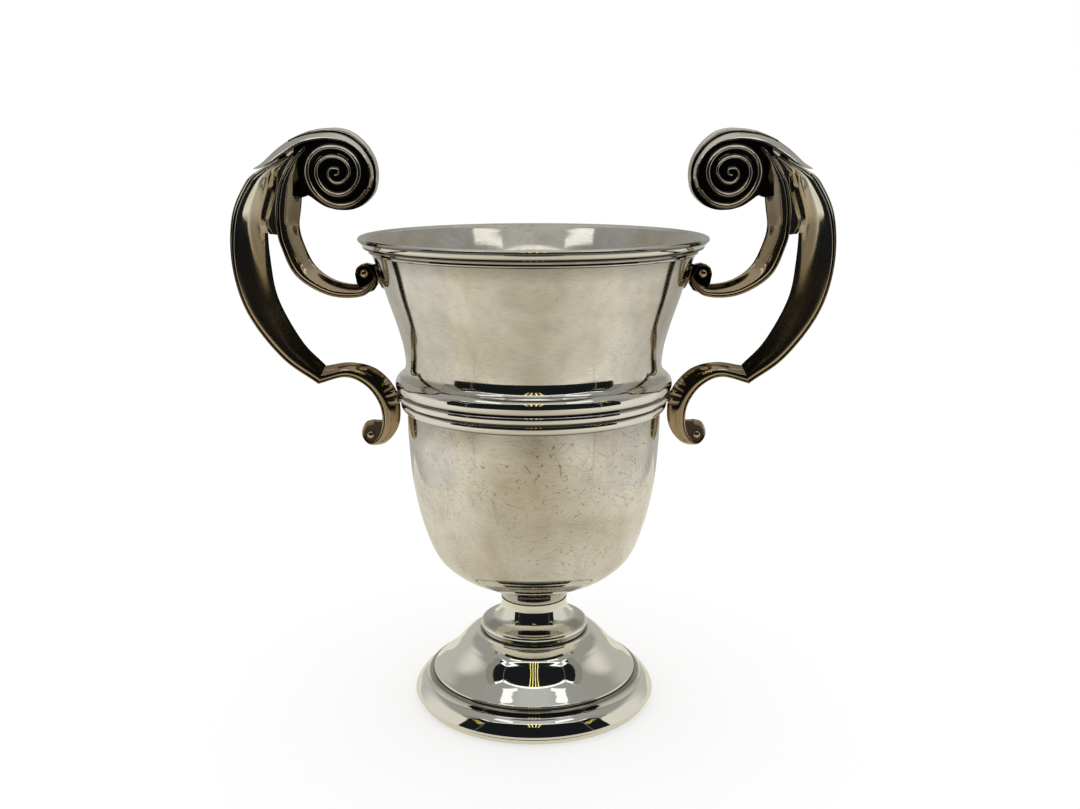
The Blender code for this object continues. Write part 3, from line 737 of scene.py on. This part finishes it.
# Angle in degrees, radius of the strap's outer edge and radius of its crest
STRAP_TURN = [(4, 10.1, 8.1), (19, 9.85, 8.15), (33, 9.7, 8.2), (46, 9.68, 8.3), (60, 9.75, 8.45),
              (71, 9.95, 8.6), (82, 10.2, 8.8), (92, 10.35, 8.95), (101, 10.45, 9.1),
              (115, 10.5, 9.25), (130, 10.45, 9.15), (145, 10.2, 8.9), (160, 9.8, 8.5),
              (175, 9.35, 8.2)]
STRAP_TUCK = 0.15  # how far it reaches in past its crest

# The ridge's crest: the angle at the strap's end, and the radius there and after each step
RIDGE_START = 120.0
RIDGE_STEP = 30.0
RIDGE_CREST = [9.35, 9.15, 8.5, 7.6, 7.15, 7.15, 7.1, 6.8, 6.4, 6.3, 6.3, 6.3, 6.25, 6.1, 5.75, 5.2,
               4.85, 4.8, 4.65, 4.3, 3.95, 3.9, 3.95, 3.9, 3.4, 3.05, 2.7, 2.25, 1.9, 1.6, 1.4,
               1.15, 0.95, 1.1, 1.2, 1.15, 1.0, 0.85, 0.75]

# Its reach outward and inward of the crest, and how that shrinks past an angle
RIDGE_OUTWARD = 1.15
RIDGE_INWARD = 0.8
RIDGE_FULL = 500.0
RIDGE_TAPER = 0.55 / 700.0  # for each degree
RIDGE_LEAST = 0.38
VOLUTE_EYE = 0.05  # radius that it stays clear of

# The plate's radius under the strap, and past the rib's end its edge by angle and radius
PLATE_RADIUS = 8.6
VOLUTE_EDGE = [(104, 10.9), (112, 11.15), (123, 11.2), (134, 11.05), (145, 10.85), (156, 10.5),
               (167, 10.05), (181, 9.55), (195, 9.3), (212, 9.0), (225, 9.05), (231, 9.4)]


def strap_stations():
    """The strap from its leaf-like tip on the limb, over the volute and down its inner side."""
    leaf = [(72.3, 146.75, 71.9, 146.5), (70.3, 148.0, 69.5, 147.25), (68.0, 150.05, 67.3, 148.2),
            (65.8, 151.9, 64.5, 150.05), (62.8, 153.9, 61.2, 152.15), (60.7, 154.75, 59.1, 153.15),
            (57.3, 155.6, 56.3, 153.8), (53.4, 156.0, 53.5, 154.05)]
    leaf += [(*on_volute(angle, edge), *on_volute(angle, crest - STRAP_TUCK))
             for angle, edge, crest in STRAP_TURN]
    return [(*place, STRAP_HALF_DEPTH, STRAP_OUTLINE) for place in smooth(leaf, SPAN_STEPS)]


def ridge_outline(angle):
    """The ridge's section: its flank that faces up is the wider one, the other, facing down, is
    painted darker as shade.
    """
    up = math.cos(math.radians(angle))
    crest = RIDGE_TOP + RIDGE_LEAN * up
    held = []
    for share, depth, dark in RIDGE_OUTLINE:
        past = share - RIDGE_TOP
        if past < 0.0:
            moved = share * crest / RIDGE_TOP
        else:
            moved = 1.0 - (1.0 - share) * (1.0 - crest) / (1.0 - RIDGE_TOP)
        shade = max(0.0, RIDGE_SHADE * past * up)
        held.append((moved, depth, min(RIDGE_DARKEST, dark + shade)))
    return held


def ridge_stations():
    """The spiral ridge from under the strap's end to the curl in the middle, where it is thin."""
    crests = smooth([(RIDGE_START + RIDGE_STEP * step, crest)
                     for step, crest in enumerate(RIDGE_CREST)], SPAN_STEPS)
    stations = []
    for angle, crest in crests:
        size = 1.0 - RIDGE_TAPER * (angle - RIDGE_FULL)
        size = max(RIDGE_LEAST, min(1.0, size))
        outer = on_volute(angle, crest + RIDGE_OUTWARD * size)
        inner = on_volute(angle, max(crest - RIDGE_INWARD * size, VOLUTE_EYE))
        stations.append((*outer, *inner, STRAP_HALF_DEPTH, ridge_outline(angle)))
    return stations


def volute_plate():
    """Outline of the plate behind the strap and the ridge, out to where it meets the C-scroll."""
    edge = [on_volute(angle, PLATE_RADIUS) for angle in range(0, 95, 5)]
    edge += [on_volute(angle, radius) for angle, radius in smooth(VOLUTE_EDGE, per_span=5)]
    return edge + [(59.0, 139.6), (59.9, 139.3), (60.6, 139.3), (60.5, 142.0), (60.3, 145.4),
                   (60.0, 148.0), (62.0, 149.4), (61.5, 152.6), (58.5, 154.0), (54.5, 154.8)]


def web_stations():
    """The hollow web between the limb and the C-scroll, from the strap down to the notch."""
    route = smooth([(62.0, 152.6, 58.2, 151.8), (64.6, 150.6, 60.8, 149.6),
                    (66.6, 147.9, 63.0, 146.8), (67.2, 145.4, 64.7, 144.2),
                    (67.7, 141.6, 65.5, 141.3), (68.9, 137.6, 66.0, 137.6),
                    (69.8, 134.2, 66.3, 134.7), (69.8, 131.9, 66.3, 131.6),
                    (69.4, 130.5, 66.2, 130.2), (69.1, 129.8, 66.0, 129.3)], SPAN_STEPS)
    return [(*place, WEB_HALF_DEPTH, WEB_OUTLINE) for place in route]


# Plates that close the curls of the C-scroll and the S-scroll behind their beads, dark all over as
# painted shade
C_CURL = [(47.2, 119.3), (46.8, 120.8), (45.7, 121.7), (44.2, 122.1), (42.6, 121.7), (41.3, 121.9),
          (41.1, 119.0), (41.2, 116.6), (42.3, 114.9), (44.0, 114.3), (45.8, 115.0), (46.8, 117.0)]
S_CURL = [(46.6, 75.4), (46.2, 77.2), (45.0, 78.5), (43.3, 79.3), (41.4, 79.2), (40.7, 77.5),
          (41.1, 75.4), (42.3, 74.0), (44.4, 73.2), (46.0, 73.9)]


def boss_outline(radius, half_depth):
    """A short round bar with domed ends: (radius, y) points from one pole to the other."""
    steps = 8
    dome = BEAD_DOME * radius
    points = []
    for step in range(steps + 1):
        lean = math.pi / 2.0 * step / steps
        points.append((radius * math.sin(lean), -half_depth + dome * (1.0 - math.cos(lean))))
    return points + [(r, -y) for r, y in points[::-1]]


# The rib's outer and inner edge over the strap, and then by angle, outer and inner radius
RIB_RISE = [(63.2, 153.75, 63.1, 153.7), (61.3, 154.75, 60.8, 154.55), (59.8, 155.4, 59.3, 155.0),
            (57.7, 156.15, 57.2, 155.5), (55.35, 156.65, 55.2, 155.8), (53.0, 156.86, 53.0, 155.95)]
RIB_TURN = [(3, 11.16, 10.05), (16, 11.12, 9.9), (27, 11.0, 9.75), (39, 10.8, 9.65),
            (52, 10.72, 9.7), (67, 10.74, 9.9), (79, 10.85, 10.15), (91, 10.95, 10.3),
            (102, 11.08, 10.4), (112, 11.2, 10.5), (118, 11.1, 10.8)]


def rib_stations():
    """The thumb rib, from its point on the strap to its end on the volute's inner side."""
    route = RIB_RISE + [(*on_volute(angle, outer), *on_volute(angle, inner))
                        for angle, outer, inner in RIB_TURN]
    return [(*place, RIB_HALF_DEPTH, RIB_OUTLINE) for place in smooth(route, SPAN_STEPS)]


def make_handle(side, turn, material):
    """All the pieces of one handle. turn is 1 on the right and -1 on the left."""

    def lofted(name, stations, body=BODY_OUTLINE):
        shape = new_shape()
        loft_into(shape, stations, turn, body)
        show(side + name, shape, material)

    def bead(name, centre, half_depth, curl):
        shape = new_shape()
        bead_into(shape, centre, boss_outline(BEAD_RADIUS, half_depth), turn)
        plate_into(shape, curl, CURL_HALF_DEPTH, CURL_PAINTED_SHADE, turn)
        show(side + name, shape, material)

    lofted("handle_limb", limb_stations(), SCROLL_OUTLINE)

    shape = new_shape()
    loft_into(shape, c_scroll_stations(), turn, SCROLL_OUTLINE)
    loft_into(shape, web_stations(), turn)
    show(side + "c_scroll", shape, material)

    lofted("s_scroll", s_scroll_stations())
    lofted("thumb_rib", rib_stations())
    bead("c_scroll_bead", C_BEAD, C_BEAD_HALF_DEPTH, C_CURL)
    bead("s_scroll_bead", S_BEAD, S_BEAD_HALF_DEPTH, S_CURL)

    shape = new_shape()
    loft_into(shape, strap_stations(), turn)
    loft_into(shape, ridge_stations(), turn)
    # The plate is dark all over: painted shade in the recess behind the strap and the ridge
    plate_into(shape, volute_plate(), PLATE_HALF_DEPTH, PLATE_PAINTED_SHADE, turn)
    show(side + "volute_scroll", shape, material)

    shape = new_shape()
    pad_into(shape, turn)
    show(side + "wall_pad", shape, material)


def wall_radius(height):
    """Radius of the upper sheet's outer side at a height."""
    wall = bowl_upper_wall()
    for (r0, z0, _), (r1, z1, _) in zip(wall, wall[1:]):
        if z1 <= height <= z0:
            return r0 + (r1 - r0) * (z0 - height) / (z0 - z1)
    return wall[0][0]


def pad_into(shape, turn):
    """Adds the oval pad under the C-scroll's curl, bent to the wall, with a rounded edge."""
    rings = []
    for share, lift, dark in PAD_OUTLINE:
        ring = []
        for cosine, sine in directions(share, ROUND_STEPS):
            y = share * PAD_HALF_WIDTH * cosine
            z = PAD_HEIGHT + share * PAD_HALF_HEIGHT * sine
            radius = wall_radius(z) + PAD_THICKNESS * lift
            x = math.sqrt(radius * radius - y * y)
            ring.append(add_point(shape, x * turn, y * turn, z, dark))
        rings.append(ring)
    skin(shape, rings)


# Studio


def glow(name, colour, strength):
    """A plain light-giving surface."""
    material = bpy.data.materials.new(name)
    material.use_nodes = True
    tree = material.node_tree
    tree.nodes.clear()
    light = node(tree, "ShaderNodeEmission", {"Color": colour, "Strength": strength})
    node(tree, "ShaderNodeOutputMaterial", {"Surface": light.outputs[0]})
    return material


def graded_glow(name, colour, axis, light, top_light=None):
    """Light-giving cloth that dims away from zero on an axis, and toward its top.

    light is two distances and the strength at each. top_light is two heights, and the strength
    that the cloth has above them.
    """
    start, end, first, last = light
    material = glow(name, colour, first)
    tree = material.node_tree
    parts = places(tree)[1]
    reach = maths(tree, "ABSOLUTE", parts[axis])
    strength = ramp(tree, reach, start * MM, end * MM, first, last)
    if top_light:
        bottom, top, upper = top_light
        above = ramp(tree, parts["Z"], bottom * MM, top * MM)
        inputs = {"Factor": above, "A": strength, "B": upper}
        strength = node(tree, "ShaderNodeMix", inputs, data_type="FLOAT").outputs["Result"]
    tree.links.new(strength, tree.nodes["Emission"].inputs["Strength"])
    return material


def panel(name, corners, material, faces=None):
    """A card of the studio set, of one face unless faces are given. Only reflections show it."""
    mesh = bpy.data.meshes.new(name)
    mesh.from_pydata([Vector(corner) * MM for corner in corners], [],
                     faces or [tuple(range(len(corners)))])
    mesh.materials.append(material)
    thing = bpy.data.objects.new(name, mesh)
    bpy.context.scene.collection.objects.link(thing)
    thing.visible_camera = False
    thing.visible_diffuse = False
    thing.visible_shadow = False


def pair(name, corners, material):
    """The same card on the right and, mirrored, on the left."""
    for sign in (-1.0, 1.0):
        panel(name, [(sign * x, y, z) for x, y, z in corners], material)


def make_tent():
    """A small tent of grey cloth with a bright hem round its open mouth."""
    cloth = graded_glow("tent_cloth", CLOTH_COLOUR, "X", CEILING_LIGHT)
    walls = graded_glow("tent_walls", WALL_COLOUR, "Y", WALL_LIGHT, WALL_TOP_LIGHT)
    hem = glow("tent_hem", CLOTH_COLOUR, HEM_LIGHT)
    side, front, back, top = TENT_SIDE, TENT_FRONT, TENT_BACK, TENT_HEIGHT
    mouth, corner, behind = TENT_MOUTH, TENT_SIDE_FRONT, TENT_FRONT + TENT_HEM
    panel("tent_ceiling", [(-mouth, behind, top), (mouth, behind, top), (side, corner, top),
                           (side, back, top), (-side, back, top), (-side, corner, top)], cloth)
    start, end = mouth - HEM_OVERLAP, mouth + HEM_OVERLAP
    panel("tent_front_hem", [(-start, front, top), (start, front, top), (start, behind, top),
                             (-start, behind, top)], hem)
    panel("tent_back", [(-side, back, 0), (side, back, 0), (side, back, top),
                        (-side, back, top)], walls)
    pair("tent_side", [(side, corner, 0), (side, back, 0), (side, back, top),
                       (side, corner, top)], walls)
    pair("tent_side_hem", [(end, front, top), (side + TENT_SIDE_HEM, corner, top),
                           (side, corner, top), (start, front + HEM_CORNER, top)], hem)

    # Pale patches in the ceiling by the mouth's corners, strips at the side walls' ends, and posts
    patch = glow("tent_patch", CLOTH_COLOUR, PATCH_LIGHT)
    pair("tent_patch", [(x, y, top - PATCH_DROP) for x, y in CEILING_PATCH], patch)
    inward, forward = side - CHEEK_WIDTH, corner - CHEEK_DEPTH
    for name, bottom, height, colour, strength in CHEEKS:
        cheek = glow(name, colour, strength)
        pair("tent_cheek", [(inward, forward, bottom), (side, corner, bottom),
                            (side, corner, height), (inward, forward, height)], cheek)
    post = glow("tent_post", CLOTH_COLOUR, POST_LIGHT)
    outer = mouth + TENT_POST
    pair("tent_post", [(mouth, front, 0), (outer, front, 0), (outer, front, top),
                       (mouth, front, top)], post)


def make_room():
    """The dim room that the tent opens to: a dark bay, and thin lamps in three groups."""
    room = glow("room", ROOM_COLOUR, ROOM_LIGHT)
    ring = []
    for step in range(ROOM_STEPS + 1):
        angle = math.pi + math.pi * step / ROOM_STEPS
        ring.append((ROOM_RADIUS * math.cos(angle), ROOM_RADIUS * math.sin(angle)))
    corners = [(x, y, z) for z in (0.0, ROOM_HEIGHT) for x, y in ring]
    count = len(ring)
    faces = [(i, i + 1, count + i + 1, count + i) for i in range(ROOM_STEPS)]
    faces.append(tuple(range(count, 2 * count)))
    panel("room_bay", corners, room, faces)

    lamp = glow("room_lamp", LAMP_COLOUR, LAMP_LIGHT)
    near, top = TENT_FRONT, TENT_HEIGHT
    for middle, reach in LAMP_GROUPS:
        far = near - reach
        for index in range(LAMPS_IN_GROUP):
            x = middle + LAMP_SPACING * (index - (LAMPS_IN_GROUP - 1) / 2.0)
            left, right = x - LAMP_HALF_WIDTH, x + LAMP_HALF_WIDTH
            panel("room_lamp", [(left, far, top), (right, far, top), (right, near, top),
                                (left, near, top)], lamp)


def table_tone(tree):
    """Warm pale paper in reflections: paler to the sides and the back than before the cup, where a
    shadow is painted.
    """
    place, parts = places(tree)
    squashed = mapped(tree, place, location=FRONT_SHIFT, scale=FRONT_SQUASH)
    spread = ramp(tree, length_of(tree, squashed), *WIDE_FROM, 0.0, 1.0, "LINEAR")
    tone = blended(tree, spread, FRONT_SHADOW_COLOUR, WIDE_COLOUR)

    # Painted shade in the two front corners
    aside = ramp(tree, maths(tree, "ABSOLUTE", parts["X"]), *CORNER_ASIDE)
    toward = ramp(tree, parts["Y"], *CORNER_TOWARD)
    return blended(tree, maths(tree, "MULTIPLY", aside, toward), tone, CORNER_SHADE_COLOUR)


def make_floor():
    """The table: white with a soft shadow to the eye, and warmer and darker in reflections, with a
    painted shadow before the cup.
    """
    material = bpy.data.materials.new("table_paper")
    material.use_nodes = True
    tree = material.node_tree
    tree.nodes.clear()
    paper = node(tree, "ShaderNodeBsdfDiffuse", {"Color": PAPER_COLOUR}).outputs[0]
    lift = node(tree, "ShaderNodeEmission", {"Color": WHITE, "Strength": PAPER_LIFT})
    seen = node(tree, "ShaderNodeAddShader", {0: paper, 1: lift.outputs[0]}).outputs[0]
    warm = node(tree, "ShaderNodeEmission", {"Color": table_tone(tree), "Strength": 1.0})
    glossy = node(tree, "ShaderNodeLightPath").outputs["Is Glossy Ray"]
    choose = node(tree, "ShaderNodeMixShader", {0: glossy, 1: seen, 2: warm.outputs[0]})
    node(tree, "ShaderNodeOutputMaterial", {"Surface": choose.outputs[0]})

    half = TABLE_HALF_WIDTH * MM
    mesh = bpy.data.meshes.new("table")
    mesh.from_pydata([(-half, -half, 0.0), (half, -half, 0.0), (half, half, 0.0),
                      (-half, half, 0.0)], [], [(0, 1, 2, 3)])
    mesh.materials.append(material)
    table = bpy.data.objects.new("table", mesh)
    bpy.context.scene.collection.objects.link(table)


def make_world():
    """A plain white surround."""
    world = bpy.data.worlds.new("studio")
    bpy.context.scene.world = world
    world.use_nodes = True
    ground = world.node_tree.nodes["Background"]
    ground.inputs["Color"].default_value = (*WHITE, 1.0)
    ground.inputs["Strength"].default_value = 1.0


def make_camera():
    """The photo's view: a little above the lip, tilted down."""
    data = bpy.data.cameras.new("camera")
    data.sensor_fit = "HORIZONTAL"
    data.sensor_width = SENSOR_WIDTH
    data.lens = FOCAL_PIXELS * SENSOR_WIDTH / PHOTO_WIDTH
    data.clip_start = 0.01
    camera = bpy.data.objects.new("camera", data)
    camera.location = (0.0, -CAMERA_DISTANCE * MM, CAMERA_HEIGHT * MM)
    camera.rotation_euler = (math.radians(90.0 - CAMERA_DIP), 0.0, math.radians(-CAMERA_PAN))
    bpy.context.scene.collection.objects.link(camera)
    bpy.context.scene.camera = camera


def main():
    """Makes the materials, the cup and the studio."""
    body = silver("body_silver", bright=(0.90, 0.89, 0.85), tarnish=(0.72, 0.66, 0.53),
                  roughness=0.06, wear=0.8, seed=1.0, scratch_height=0.0003, sheet=True)
    bright = silver("bright_silver", bright=(0.90, 0.90, 0.86), tarnish=(0.80, 0.76, 0.66),
                    roughness=0.035, wear=0.4, seed=5.0, scratch_height=0.0002)
    cast = silver("handle_silver", bright=(0.98, 0.97, 0.92), tarnish=(0.78, 0.72, 0.60),
                  roughness=0.06, wear=0.6, seed=9.0, scratch_height=0.0003, low=LOW_REFLECTION_COLOUR)

    make_bowl_upper(body)
    make_rim_moulding(bright)
    make_girdle(bright)
    make_bowl_lower(body)
    make_stem(bright)
    make_foot(bright)
    make_handle("right_", 1.0, cast)
    make_handle("left_", -1.0, cast)

    make_camera()
    make_world()
    make_floor()
    make_tent()
    make_room()
    bpy.context.scene.view_settings.view_transform = "Standard"


main()
